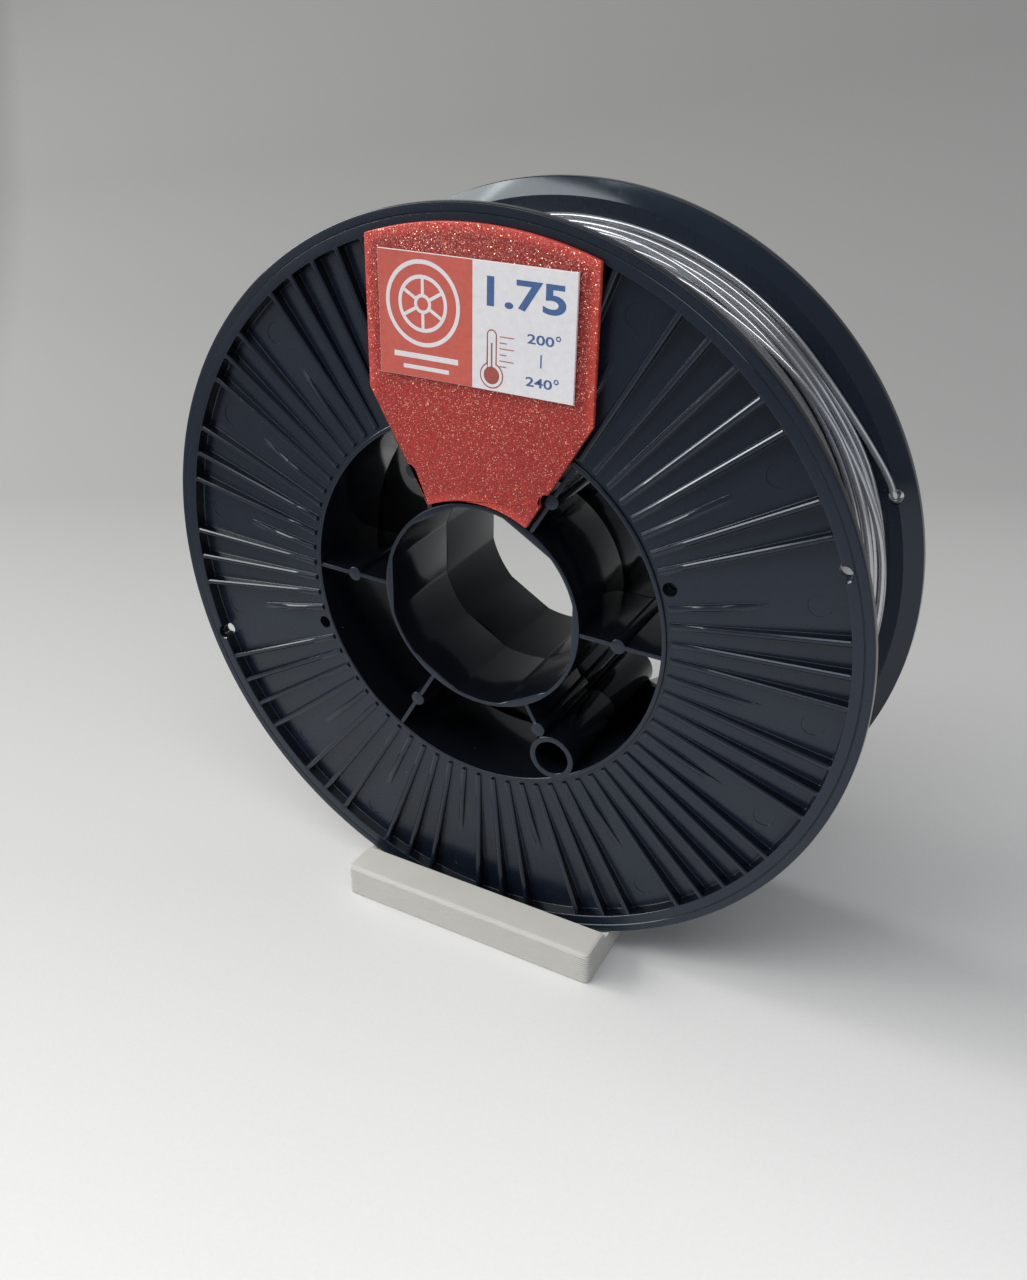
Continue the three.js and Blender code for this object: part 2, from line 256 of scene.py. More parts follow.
def black_plastic():
    """Glossy moulded plastic with a faint orange-peel skin, soft scuffs and a little dust.

    Faces that run along the axis (rib flanks, walls, bore) carry a painted shade, a darker colour, and
    faces square to the axis are duller.
    """
    finish = Finish(
        "black_plastic", Roughness=0.14, Specular_IOR_Level=0.46,
        Specular_Tint=(0.84, 0.93, 1.0, 1),
    )
    cloud = finish.noise(38, detail=5)
    scuff = finish.noise(420, detail=6, roughness=0.7)
    worn = finish.times(finish.ramp(scuff, 0.55, 0.8), 0.12)
    rough = finish.plus(finish.ramp(cloud, 0.3, 0.7, 0.09, 0.16), worn)
    speck_distance = finish.cells(DUST_CELLS_PER_METRE, "Distance")
    speck_colour = finish.cells(DUST_CELLS_PER_METRE, "Color")
    speck_choice = finish.node("ShaderNodeSeparateColor", {"Color": speck_colour}).outputs["Red"]
    near = finish.ramp(speck_distance, 0.014, 0.024, 1.0, 0.0)
    chosen = finish.ramp(speck_choice, 0.86, 0.88)
    dust = finish.times(near, chosen)
    body = finish.mix(cloud, (0.0064, 0.0100, 0.0198, 1), (0.0085, 0.0130, 0.0245, 1))
    facing = finish.node("ShaderNodeNewGeometry").outputs["True Normal"]
    flatness = finish.math("ABSOLUTE", finish.along(facing, (0, 1, 0)))
    # painted shade: faces that run along the axis get a darker colour than the panels
    body = finish.mix(finish.ramp(flatness, 0.3, SLOPING), (0.0034, 0.0044, 0.0070, 1), body)
    finish.set("Base Color", finish.mix(dust, body, (0.26, 0.27, 0.29, 1)))
    dullness = finish.ramp(flatness, SLOPING, SQUARE, 0.0, 0.14)
    finish.set("Roughness", finish.plus(dullness, finish.plus(rough, finish.times(dust, 0.4))))
    peel = finish.bump(finish.noise(900, detail=2), 0.00001, 0.3)
    finish.set("Normal", finish.bump(finish.noise(95, detail=2), 0.00006, 0.3, under=peel))
    return finish.material


def silver_filament():
    """Extruded plastic with a fine metal flake and faint streaks along the strand."""
    finish = Finish("silver_filament", Metallic=0.85, Roughness=0.14)
    flake = finish.noise(2600, detail=2)
    streak = finish.noise(60, detail=4)
    light = finish.mix(streak, (0.41, 0.42, 0.445, 1), (0.49, 0.50, 0.525, 1))
    finish.set("Base Color", finish.mix(finish.ramp(flake, 0.55, 0.8), light, (0.58, 0.59, 0.62, 1)))
    finish.set("Roughness", finish.ramp(flake, 0.3, 0.8, 0.16, 0.12))
    finish.set("Normal", finish.bump(streak, 0.00001, 0.2))
    return finish.material


GLITTER_PER_METRE = 4300
# width of the painted highlight along the plate's edges, in mm
PAINTED_EDGE_LIGHT_WIDTH = 2.6
# painted shade: the plate's colour darkens over its upper part, around and above the card
PAINTED_SHADE_START, PAINTED_SHADE_END = 56, 68  # heights above the axis over which the plate darkens
# the pale flakes are painted glints; they thin out between these heights
SPARSE_BELOW, FEWER_SPARKS = 60, 30  # heights between which the sparks thin out


def red_glitter():
    """Red plastic full of fine glitter flakes that each face their own way, with painted glints, a
    painted highlight along its edges and a painted shade around and above the card.
    """
    finish = Finish("red_glitter", Metallic=0.1, Roughness=0.4)
    spot = finish.cells(GLITTER_PER_METRE, "Color")
    choice = finish.node("ShaderNodeSeparateColor", {"Color": spot})
    cloud = finish.noise(55, detail=4)
    grain = finish.noise(2400, detail=3)
    pale = finish.mix(cloud, (0.30, 0.013, 0.011, 1), (0.37, 0.018, 0.014, 1))
    deep = finish.mix(0.35, pale, (0.10, 0.003, 0.005, 1))
    body = finish.mix(finish.ramp(grain, 0.35, 0.65), deep, pale)
    from_axis = finish.vector("SUBTRACT", finish.place, axis_point)
    across = finish.math("ABSOLUTE", finish.along(from_axis, TO_ROW.col[0].to_3d() / MM))
    up = finish.along(from_axis, TO_ROW.col[2].to_3d() / MM)
    flat = finish.vector("MULTIPLY", from_axis, (1, 0, 1))
    radius = finish.vector("LENGTH", flat, output="Value")
    past_web = finish.minus(
        finish.times(across, math.sin(math.radians(WEB_PITCH))),
        finish.times(up, math.cos(math.radians(WEB_PITCH))),
    )
    # painted highlight: a lighter red along the plate's edges
    painted_edge_light = finish.ramp(across, (PLATE_HALF_WIDTH - PAINTED_EDGE_LIGHT_WIDTH) * MM, PLATE_HALF_WIDTH * MM)
    for value, inside, edge in (
        (radius, PLATE_TOP_RADIUS - PAINTED_EDGE_LIGHT_WIDTH, PLATE_TOP_RADIUS),
        (radius, PLATE_BOTTOM_RADIUS + PAINTED_EDGE_LIGHT_WIDTH, PLATE_BOTTOM_RADIUS),
        (past_web, PLATE_EDGE_TO_WEB - PAINTED_EDGE_LIGHT_WIDTH, PLATE_EDGE_TO_WEB),
    ):
        painted_edge_light = finish.math("MAXIMUM", painted_edge_light, finish.ramp(value, inside * MM, edge * MM))
    # painted shade, weaker where the painted edge highlight lies
    painted_shade = finish.times(finish.ramp(up, PAINTED_SHADE_START * MM, PAINTED_SHADE_END * MM), finish.minus(0.42, painted_edge_light))
    body = finish.mix(painted_shade, body, (0.11, 0.004, 0.008, 1))
    body = finish.mix(finish.times(painted_edge_light, 0.75), body, (0.60, 0.055, 0.040, 1))
    flake = finish.ramp(choice.outputs["Red"], 0.74, 0.90)
    body = finish.mix(finish.times(flake, 0.8), body, (0.76, 0.105, 0.07, 1))
    # painted glints: the flakes' tilt and metal are real, but their pale colour stands for their
    # sparkle
    fewer_painted_glints = finish.ramp(up, SPARSE_BELOW * MM, FEWER_SPARKS * MM, 0.0, 0.035)
    painted_glint = finish.ramp(finish.minus(choice.outputs["Green"], fewer_painted_glints), 0.93, 0.95)
    body = finish.mix(painted_glint, body, (1.0, 0.50, 0.36, 1))
    finish.set("Base Color", body)
    any_flake = finish.math("MAXIMUM", finish.times(flake, 0.5), painted_glint)
    finish.set("Metallic", finish.times(any_flake, 0.5))
    finish.set("Roughness", finish.ramp(any_flake, 0.0, 1.0, 0.46, 0.26))
    facing = finish.node("ShaderNodeNewGeometry").outputs["Normal"]
    tilt = finish.vector("SUBTRACT", spot, (0.5, 0.5, 0.5))
    lean = finish.vector("MULTIPLY", tilt, (0.6, 0.6, 0.6))
    leaning = finish.vector("NORMALIZE", finish.vector("ADD", facing, lean))
    finish.set("Normal", finish.bump(grain, 0.00004, 0.5, under=leaning))
    return finish.material


def print_on_card(name, colour, darker):
    """Matt ink on card: slightly mottled, with the card's fine tooth."""
    finish = Finish(name, Roughness=0.62)
    mottle = finish.noise(700, detail=5, roughness=0.7)
    finish.set("Base Color", finish.mix(finish.ramp(mottle, 0.3, 0.75), darker, colour))
    finish.set("Roughness", finish.ramp(mottle, 0.3, 0.7, 0.55, 0.7))
    finish.set("Normal", finish.bump(finish.noise(1600, detail=4), 0.00002, 0.5))
    return finish.material


FINE_LAYER = 0.2
LAYER_PITCH = 0.8  # of the coarser bands that stand out at the bar's ends


def white_print():
    """Off-white printed plastic with its stack of fine layers, in coarser bands, and a painted shade
    in the grooves between layers.
    """
    finish = Finish("white_print", Roughness=0.5)
    place = finish.node("ShaderNodeSeparateXYZ", {"Vector": finish.place})
    wobble = finish.times(finish.noise(70, detail=3), 0.00012)
    turns = finish.times(finish.plus(place.outputs["Z"], wobble), 2 * math.pi / (FINE_LAYER * MM))
    layer = finish.math("SINE", turns)
    blotch = finish.noise(130, detail=5)
    # painted shade: the grooves between layers get a greyer colour
    groove_shade = finish.ramp(layer, -1.0, 0.2)
    body = finish.mix(blotch, (0.48, 0.466, 0.43, 1), (0.55, 0.536, 0.50, 1))
    between = finish.mix(0.4, body, grey(0.5))
    finish.set("Base Color", finish.mix(finish.times(groove_shade, 0.35), between, body))
    finish.set("Roughness", finish.ramp(blotch, 0.3, 0.7, 0.42, 0.58))
    rough_skin = finish.bump(finish.noise(1200, detail=3), 0.00004, 0.5)
    fine = finish.bump(layer, 0.00004, 0.55, under=rough_skin)
    ridge = finish.math("SINE", finish.times(turns, FINE_LAYER / LAYER_PITCH))
    from_middle = finish.math("ABSOLUTE", place.outputs["X"])
    near_end = finish.ramp(from_middle, 0.034, 0.040, 0.1, 0.4)
    finish.set("Normal", finish.bump(finish.times(ridge, near_end), 0.00025, 0.8, under=fine))
    return finish.material


# A painted falloff of light darkens the floor and backdrop along FLOOR_AWAY: (start, end, share
# before, share after) for each change.
FLOOR_AWAY = (-0.48, 0.88, 1.0)
FLOOR_PAINTED_FALLOFF = [(-0.14, 0.0, 1, 0.75), (0.0, 0.32, 1, 0.60), (0.32, 1.4, 1, 0.72)]
# A painted shade also darkens it to the front left, outside the camera's view, where the flange's face
# reflects it.
FLOOR_FRONT_LEFT = (-0.665, -0.747, 0)
FRONT_PALE, FRONT_DARK = 0.17, 0.33


def floor_finish():
    """Pale paper with a painted falloff of light to grey in the distance and a painted shade to the
    front left.
    """
    finish = Finish("floor", Roughness=0.9)
    away = finish.along(finish.place, FLOOR_AWAY)
    tooth = finish.noise(900, detail=4)
    paper_tooth_and_painted_shade = finish.ramp(tooth, 0.0, 1.0, 0.76, 0.82)
    # painted falloff of light on the floor and backdrop
    for start, end, before, after in FLOOR_PAINTED_FALLOFF:
        paper_tooth_and_painted_shade = finish.times(paper_tooth_and_painted_shade, finish.ramp(away, start, end, before, after))
    front = finish.along(finish.place, FLOOR_FRONT_LEFT)
    # painted shade on the floor to the front left
    paper_tooth_and_painted_shade = finish.times(paper_tooth_and_painted_shade, finish.ramp(front, FRONT_PALE, FRONT_DARK, 1, 0.25))
    finish.set("Base Color", finish.mix(paper_tooth_and_painted_shade, grey(0.0), grey(1.0)))
    finish.set("Normal", finish.bump(tooth, 0.00004, 0.25))
    return finish.material


BLACK = black_plastic()
SILVER = silver_filament()
RED = red_glitter()
WHITE_CARD = print_on_card("card_white", (0.74, 0.73, 0.76, 1), (0.66, 0.65, 0.69, 1))
RED_CARD = print_on_card("card_red", (0.57, 0.115, 0.085, 1), (0.49, 0.085, 0.065, 1))
BLUE_INK = print_on_card("ink_blue", (0.055, 0.125, 0.31, 1), (0.040, 0.095, 0.25, 1))
BROWN_INK = print_on_card("ink_brown", (0.36, 0.085, 0.065, 1), (0.30, 0.065, 0.05, 1))
WHITE_PRINT = white_print()

# ---- Mesh helpers ----


def grid_faces(rows, columns, close_rows=True):
    """Quads over a grid of points whose columns close into a ring."""
    faces = []
    for i in range(rows if close_rows else rows - 1):
        here, there = i * columns, (i + 1) % rows * columns
        for j in range(columns):
            k = (j + 1) % columns
            faces.append((here + j, here + k, there + k, there + j))
    return faces


def plain_mesh(points, faces):
    mesh = bpy.data.meshes.new("draft")
    mesh.from_pydata([tuple(map(float, p)) for p in points], [], faces)
    return mesh


def mesh_from(shell):
    """The mesh of a bmesh, which is freed."""
    mesh = bpy.data.meshes.new("draft")
    shell.to_mesh(mesh)
    shell.free()
    return mesh


def mesh_of(points, faces):
    """A mesh with its faces turned outwards."""
    shell = bmesh.new()
    shell.from_mesh(plain_mesh(points, faces))
    bmesh.ops.recalc_face_normals(shell, faces=shell.faces)
    return mesh_from(shell)


def capped(rings):
    """A closed body over a row of rings with the same number of points."""
    points = [point for ring in rings for point in ring]
    count = len(rings[0])
    faces = grid_faces(len(rings), count, close_rows=False)
    faces += [tuple(range(count)), tuple(range(len(points) - count, len(points)))]
    return mesh_of(points, faces)


def joined(*meshes):
    """One mesh from several."""
    whole = bmesh.new()
    for mesh in meshes:
        whole.from_mesh(mesh)
    return mesh_from(whole)


def moved(mesh, matrix):
    copy = mesh.copy()
    copy.transform(matrix)
    if matrix.determinant() < 0:
        copy.flip_normals()
    return copy


def rear_twin(mesh):
    """The same piece in the rear half."""
    return moved(mesh, Matrix.Translation((0, SPOOL_WIDTH, 0)) @ Matrix.Diagonal((1, -1, 1, 1)))


def swung(mesh, degrees):
    """Turned about the spool's axis, so that +X goes to the given angle."""
    return moved(mesh, Matrix.Rotation(-math.radians(degrees), 4, "Y"))


def rounded(points, steps=3):
    """An outline with its corners rounded. Each point is (x, y, radius); the outline closes."""
    result = []
    count = len(points)
    for i, (x, y, radius) in enumerate(points):
        corner = Vector((x, y))
        if radius == 0:
            result.append(corner)
            continue
        before = Vector(points[i - 1][:2]) - corner
        after = Vector(points[(i + 1) % count][:2]) - corner
        half = before.angle(after) / 2
        cut = min(radius / math.tan(half), before.length * 0.45, after.length * 0.45)
        start = corner + before.normalized() * cut
        end = corner + after.normalized() * cut
        for k in range(steps + 1):
            u = k / steps
            result.append(start * (1 - u) ** 2 + corner * 2 * u * (1 - u) + end * u * u)
    return result


def turned(profile, steps=288):
    """A closed body turned about the spool's axis, from an outline of (radius, depth)."""
    points = []
    for k in range(steps):
        angle = 2 * math.pi * k / steps
        points += [(r * math.cos(angle), y, r * math.sin(angle)) for r, y in profile]
    return mesh_of(points, grid_faces(steps, len(profile)))


SHARPEST_CORNER = 0.4  # holds back the step at corners sharper than this


def inward_of(flat):
    """At each point of a closed outline, the step that moves its sides 1 mm inwards."""
    ahead = np.roll(flat, -1, 0) - flat
    ahead /= np.linalg.norm(ahead, axis=1)[:, None]
    behind = np.roll(ahead, 1, 0)
    x, y = flat.T
    turning = np.sum(x * np.roll(y, -1) - y * np.roll(x, -1))
    side = 1 if turning > 0 else -1
    normals = [np.stack([-way[:, 1], way[:, 0]], 1) for way in (ahead, behind)]
    inward = side * (normals[0] + normals[1])
    return inward / np.maximum(1 + np.sum(ahead * behind, 1), SHARPEST_CORNER)[:, None]


def prism(outline, front, back, bevel=0.2, steps=3):
    """An outline in X and Z drawn from one depth to another, with rounded edges at both ends."""
    flat = np.array([(p[0], p[1]) for p in outline], float)
    inward = inward_of(flat)
    bends = np.linspace(0, math.pi / 2, steps + 1)
    rings = [(front + bevel * (1 - math.cos(b)), bevel * (1 - math.sin(b))) for b in bends]
    rings += [(back - (y - front), inset) for y, inset in reversed(rings)]
    return capped([[(x, y, z) for x, z in flat + inward * inset] for y, inset in rings])


TUBE_END_WIDTH = 0.8  # shares of the radius
TUBE_END_LENGTH = 0.18


def tube(path, radius, sides=10):
    """A round strand along a path of points, with rounded ends."""
    path = np.array(path, float)
    ahead = np.gradient(path, axis=0)
    ahead /= np.linalg.norm(ahead, axis=1)[:, None]
    first = np.cross(ahead[0], (0.0, 1.0, 0.0))
    normal = first / np.linalg.norm(first)
    angles = np.arange(sides) * 2 * math.pi / sides
    rings = []
    last = len(path) - 1
    for i, (centre, forward) in enumerate(zip(path, ahead)):
        normal = normal - forward * np.dot(normal, forward)
        normal /= np.linalg.norm(normal)
        across = np.cross(forward, normal)
        circle = (np.outer(np.cos(angles), normal) + np.outer(np.sin(angles), across)) * radius
        end = centre + circle * TUBE_END_WIDTH
        if i == 0:
            rings.append(end - forward * radius * TUBE_END_LENGTH)
        rings.append(centre + circle)
        if i == last:
            rings.append(end + forward * radius * TUBE_END_LENGTH)
    return capped(rings)


def final_mesh(obj):
    """The mesh of an object with its modifiers applied; the object is removed."""
    mesh = bpy.data.meshes.new_from_object(obj.evaluated_get(bpy.context.evaluated_depsgraph_get()))
    bpy.data.objects.remove(obj)
    mesh.materials.clear()
    return mesh


def cut(mesh, *cutters):
    """The mesh with the cutters taken away."""
    body = linked("body", mesh)
    tool = linked("tool", joined(*cutters))
    change = body.modifiers.new("cut", "BOOLEAN")
    change.operation = "DIFFERENCE"
    change.solver = "EXACT"
    change.object = tool
    result = final_mesh(body)
    bpy.data.objects.remove(tool)
    return result


def shown(name, mesh, finishes, nodes=(), body="spool", place=TO_ROW, sharp=40):
    """A finished piece, in place, riding on its body and standing for its CAD nodes."""
    mesh.name = name
    mesh.transform(place)
    mesh.shade_smooth()
    mesh.set_sharp_from_angle(angle=math.radians(sharp))
    mesh.materials.clear()
    for material in finishes:
        mesh.materials.append(material)
    obj = linked(name, mesh)
    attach(obj, body)
    if nodes:
        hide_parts(*nodes)
    return obj


def polar(radius, degrees):
    angle = math.radians(degrees)
    return Vector((radius * math.cos(angle), radius * math.sin(angle)))


def smooth(value):
    value = np.clip(value, 0, 1)
    return value * value * (3 - 2 * value)


def both_halves(name, mesh, sharp=40):
    """A piece of the moulding and its twin in the rear half."""
    for end, half in (("front", mesh), ("rear", rear_twin(mesh))):
        node = f"{end}_{name}"
        shown(f"{node}_skin", half, [BLACK], [node], sharp=sharp)


# ---- The filament's loose end ----

# The last turn's route from the winding into the rear rim's hole. Each point is
# (degrees from the hole, radius, depth).
TAIL_ROUTE = [(angle, LAST_TURN_RADIUS, LAST_TURN_DEPTH) for angle in range(80, 20, -10)] + [
    (21, 90.9, 49),
    (15.6, 91.5, 49),
    (11.6, 92.3, 49),
    (7.6, 93.4, 49),
    (4, 94.6, 48.9),
    (2, 95.1, 48.8),
    (0.8, RIM_HOLE_PLACE, 48.9),
    (0.2, RIM_HOLE_PLACE, 49.5),
    (0, RIM_HOLE_PLACE, 50.4),
    (0, RIM_HOLE_PLACE, 52.2),
    (0, RIM_HOLE_PLACE, 54),
]
TAIL_STEPS_PER_POINT = 12


def smooth_path(points, steps):
    """A centripetal Catmull-Rom curve through the points."""
    points = np.array(points, float)
    points = np.vstack([2 * points[0] - points[1], points, 2 * points[-1] - points[-2]])
    path = []
    for i in range(len(points) - 3):
        near = points[i:i + 4]
        gaps = np.sqrt(np.linalg.norm(np.diff(near, axis=0), axis=1))
        t = np.concatenate([[0], np.cumsum(gaps)])
        for u in np.linspace(t[1], t[2], steps, endpoint=False):
            blend = near
            for span in (1, 2):
                blend = [
                    blend[k] + (blend[k + 1] - blend[k]) * (u - t[k]) / (t[k + span] - t[k])
                    for k in range(len(blend) - 1)
                ]
            path.append(blend[0] + (blend[1] - blend[0]) * (u - t[1]) / (t[2] - t[1]))
    path.append(points[-2])
    return np.array(path)


tail_points = []
for degrees, radius, depth in TAIL_ROUTE:
    x, z = polar(radius, HOLE_ANGLES[0] + degrees)
    tail_points.append((x, depth, z))
tail_path = smooth_path(tail_points, TAIL_STEPS_PER_POINT)
tail = shown(
    "filament_tail_strand", tube(tail_path, FILAMENT_RADIUS, STRAND_SIDES), [SILVER],
    ["filament_tail"],
)

# ---- Winding ----

# The strand runs clockwise and steps from turn to turn between these two angles.
STEP_START = 250
STEP_END = 190
DEGREES_PER_POINT = 2
# Turns as (depth, radius): full at the front, then a hollow.
FRONT_TURNS = [(5.9 + 1.78 * k, 91.8) for k in range(10)]
HOLLOW_TURNS = [(23.7 + 1.76 * k, 91.2 - 5.3 * (k / 9) ** 0.9) for k in range(10)]
UNDER_LAYER_SHIFT = (0.88, -1.5)
SLOW_CROSSING = (60, 0)
WANDER_DEPTH, WANDER_RADIUS = 0.09, 0.05
WANDER_FADE_START, WANDER_FADE = 330, 30  # degrees along a turn
# What lies under the strands, as (radius, depth).
CORE_PROFILE = [
    (51.8, 5.05), (89.2, 5.05), (89.2, 22), (84.2, 40), (86.2, 44), (88.2, 47), (88.2, 49.95),
    (51.8, 49.95),
]

# Turns heaped beside the rear flange: (depth, radius) before and after a crossing, and the
# angles between which they cross.
HEAP_TURNS = [
    ((42.8, 87.1), (42.8, 87.3), SLOW_CROSSING),
    ((41.2, 86.0), (40.5, 89.6), (62, 30)),
    ((43.8, 89.3), (41.6, 87.6), (88, 54)),
    ((43.3, 88.7), (46.2, 91.2), (38, 10)),
    ((44.0, 90.2), (47.5, 91.3), (44, 2)),
    ((45.7, 89.0), (45.7, 89.4), SLOW_CROSSING),
    ((47.3, 89.2), (47.3, 89.6), SLOW_CROSSING),
    ((49.1, 89.1), (49.1, 90.8), (46, 24)),
]


def wound(turns, last_end):
    """The strand's path through the turns; the last one stops at the given angle."""
    random.seed(11)
    wander = [[random.uniform(-math.pi, math.pi) for _ in range(4)] for _ in turns]
    path = []
    before = turns[0][0]
    for index, (above, below, (cross_start, cross_end)) in enumerate(turns):
        final = index == len(turns) - 1
        stop = last_end if final else STEP_START - 360
        for degrees in np.arange(STEP_START, stop, -DEGREES_PER_POINT):
            stepping = smooth((STEP_START - degrees) / (STEP_START - STEP_END))
            crossing = smooth((cross_start - degrees) / max(cross_start - cross_end, 1))
            start = np.array(before) + (np.array(above) - np.array(before)) * stepping
            depth, radius = start + (np.array(below) - np.array(above)) * crossing
            a, b, c, d = wander[index]
            angle = math.radians(degrees)
            if not final:
                past_fade = (degrees - STEP_START + WANDER_FADE_START) / -WANDER_FADE
                fade = stepping * (1 - smooth(past_fade))
                sideways = math.sin(2 * angle + a) + math.sin(3 * angle + b)
                outwards = math.sin(2 * angle + c) + math.sin(5 * angle + d)
                depth += WANDER_DEPTH * fade * sideways
                radius += WANDER_RADIUS * fade * outwards
            path.append((radius * math.cos(angle), depth, radius * math.sin(angle)))
        before = below
    return path


def steady(turn):
    """A turn that stays at its own depth and radius."""
    return (turn, turn, SLOW_CROSSING)


plain_turns = FRONT_TURNS + HOLLOW_TURNS
top_turns = [steady(turn) for turn in plain_turns] + HEAP_TURNS
top_turns.append(steady((LAST_TURN_DEPTH, LAST_TURN_RADIUS)))
top_path = wound(top_turns, HOLE_ANGLES[0] + TAIL_ROUTE[0][0])
depth_shift, radius_shift = UNDER_LAYER_SHIFT
under_turns = [steady((depth + depth_shift, radius + radius_shift)) for depth, radius in plain_turns]
winding = joined(
    tube(top_path, FILAMENT_RADIUS, STRAND_SIDES),
    tube(wound(under_turns, STEP_END), FILAMENT_RADIUS, UNDER_STRAND_SIDES),
    turned(CORE_PROFILE, steps=180),
)
shown("filament_winding_strands", winding, [SILVER], ["filament_winding"])

# ---- Flanges ----

# Across a rib, in millimetres: half its flat top, the points (across, down) of its soft edge, and
# the rounded foot that meets the panel.
RIB_TOP_HALF = 0.28
RIB_EDGE = [(0.12, 0.04), (0.42, 0.3), (0.46, 0.46)]
RIB_EDGE_DEPTH = RIB_EDGE[-1][1]
RIB_EDGE_SPREAD = 0.07  # how much the edges' depths vary from rib to rib
RIB_FOOT_HALF = 0.76
RIB_FOOT_ROUND = 0.2
ROUND_STEPS = 5
PANEL_SHARES = [0.3, 0.65]
RIB_START_LEAD, RIB_START_RISE = 0.15, 0.35
SHORT_RIB_CURVE = 1.15
HEIGHT_TO_ROUND = 2.5  # a rib is at least this many times as high as its rounded edges


def rib_columns():
    """Columns across one pitch: (offset in mm, share of the way to the pitch's edge, kind, turn)."""
    half = [(RIB_TOP_HALF, 0, "top", 0)]
    for across, down in RIB_EDGE:
        half.append((RIB_TOP_HALF + across, 0, "edge", down / RIB_EDGE_DEPTH))
    for k in range(ROUND_STEPS + 1):
        bend = math.pi / 2 * k / ROUND_STEPS
        half.append((RIB_FOOT_HALF + RIB_FOOT_ROUND * (1 - math.cos(bend)), 0, "foot", bend))
    foot_end = RIB_FOOT_HALF + RIB_FOOT_ROUND
    half += [(foot_end, share, "panel", 0) for share in PANEL_SHARES]
    left = [(-offset, share, kind, bend) for offset, share, kind, bend in reversed(half)]
    return left + [(0, 0, "top", 0)] + half + [(foot_end, 1, "panel", 0)]


def panel_depth(radius):
    share = (radius - DRUM_OUTER_RADIUS) / (PANEL_OUTER_RADIUS - DRUM_OUTER_RADIUS)
    return PANEL_DEPTH_AT_DRUM + (PANEL_DEPTH_AT_RIM - PANEL_DEPTH_AT_DRUM) * share


def rib_top_depth(radius, base, is_short):
    """How deep a rib's top lies at a radius; base where there is no rib."""
    rise = smooth((radius - RIB_START_RADIUS + RIB_START_LEAD) / RIB_START_RISE)
    top = base + (RIB_TOP_DEPTH - base) * rise
    if is_short:
        length = SHORT_RIB_END_RADIUS - SHORT_RIB_SLOPE_RADIUS
        slope = np.clip((radius - SHORT_RIB_SLOPE_RADIUS) / length, 0, 1)
        top = top + (base - top) * slope ** SHORT_RIB_CURVE
    return np.minimum(top, base)


def flange_rows():
    """(radius, depth, whether ribs stand on it) around the flange's section."""
    rib_starts = [51.7, 52.2, 52.45, 52.55, 52.65, 52.75, 52.85, 53.1, 54, 56, 58, 60]
    panel = [FLANGE_INNER_RADIUS] + rib_starts
    panel += list(np.arange(61, 77.1, 1)) + list(np.arange(79, 94, 2.5))
    panel_end = 93.9
    groove = RIM_GROOVE_RADIUS
    outline = [
        (panel_end, panel_depth(panel_end), 0),
        (PANEL_OUTER_RADIUS, PANEL_DEPTH_AT_RIM, 0.4),
        (RIM_INNER_RADIUS, 0, 0.3),
        (96.3, 0, 0),
        (groove - 0.22, 0, 0.06),
        (groove - 0.08, 0.16, 0.05),
        (groove + 0.08, 0.16, 0.05),
        (groove + 0.22, 0, 0.06),
        (99, 0, 0),
        (SPOOL_RADIUS, 0, 0.4),
        (SPOOL_RADIUS, RIM_EDGE_WIDTH, 0.35),
        (RIM_BEVEL_RADIUS, FLANGE_THICKNESS, 0.6),
        (75, FLANGE_THICKNESS, 0),
        (FLANGE_INNER_RADIUS, FLANGE_THICKNESS, 0),
    ]
    rows = [(r, panel_depth(r), True) for r in panel]
    for p in rounded(outline, steps=6):
        ribbed = p.x < RIM_INNER_RADIUS + 0.3 and p.y < PANEL_DEPTH_AT_RIM + 0.1
        rows.append((p.x, p.y, ribbed))
    return rows


def flange_mesh():
    radius, base, ribbed = (np.array(values)[:, None] for values in zip(*flange_rows()))
    offset, share, kind, bend = (np.array(values)[None, :] for values in zip(*rib_columns()))
    half_pitch = radius * math.radians(RIB_PITCH) / 2
    reach = np.sign(offset) * half_pitch - offset
    arc = offset + reach * share
    depths = {}
    edges = {}
    for sort in ("none", "long", "short"):
        top = base if sort == "none" else rib_top_depth(radius, base, sort == "short")
        height = np.where(ribbed, np.maximum(base - top, 0), 0)
        edge = np.minimum(RIB_EDGE_DEPTH, height / HEIGHT_TO_ROUND)
        foot = np.minimum(RIB_FOOT_ROUND, height / HEIGHT_TO_ROUND)
        edges[sort] = np.where(kind == "edge", edge * bend, 0)
        depths[sort] = np.select(
            [kind == "top", kind == "edge", kind == "foot"],
            [base - height, base - height + edge * bend, base - foot * (1 - np.sin(bend))],
            default=np.broadcast_to(base, arc.shape),
        )
    sectors = round(360 / RIB_PITCH)
    rows, columns = arc.shape
    grid = np.zeros((rows, sectors * columns, 3))
    random.seed(5)
    for k in range(sectors):
        middle = k * RIB_PITCH
        sort = "short" if middle in SHORT_RIB_ANGLES else "long"
        if middle in HOLE_ANGLES:
            sort = "none"
        angle = math.radians(middle) + arc / radius
        part = slice(k * columns, (k + 1) * columns)
        spread = random.uniform(-RIB_EDGE_SPREAD, RIB_EDGE_SPREAD)
        grid[:, part, 0] = radius * np.cos(angle)
        grid[:, part, 1] = depths[sort] + edges[sort] * spread
        grid[:, part, 2] = radius * np.sin(angle)
    return mesh_of(grid.reshape(-1, 3), grid_faces(rows, grid.shape[1]))


def hole_cutter(place, degrees):
    """A drill with a small flare at each end, for a hole with softened edges."""
    flare = 0.3
    wide = HOLE_RADIUS + flare
    stations = [
        (-1, wide), (0, wide), (flare, HOLE_RADIUS), (FLANGE_THICKNESS - flare, HOLE_RADIUS),
        (FLANGE_THICKNESS, wide), (FLANGE_THICKNESS + 1, wide),
    ]
    return bar_of(stations, polar(place, degrees))


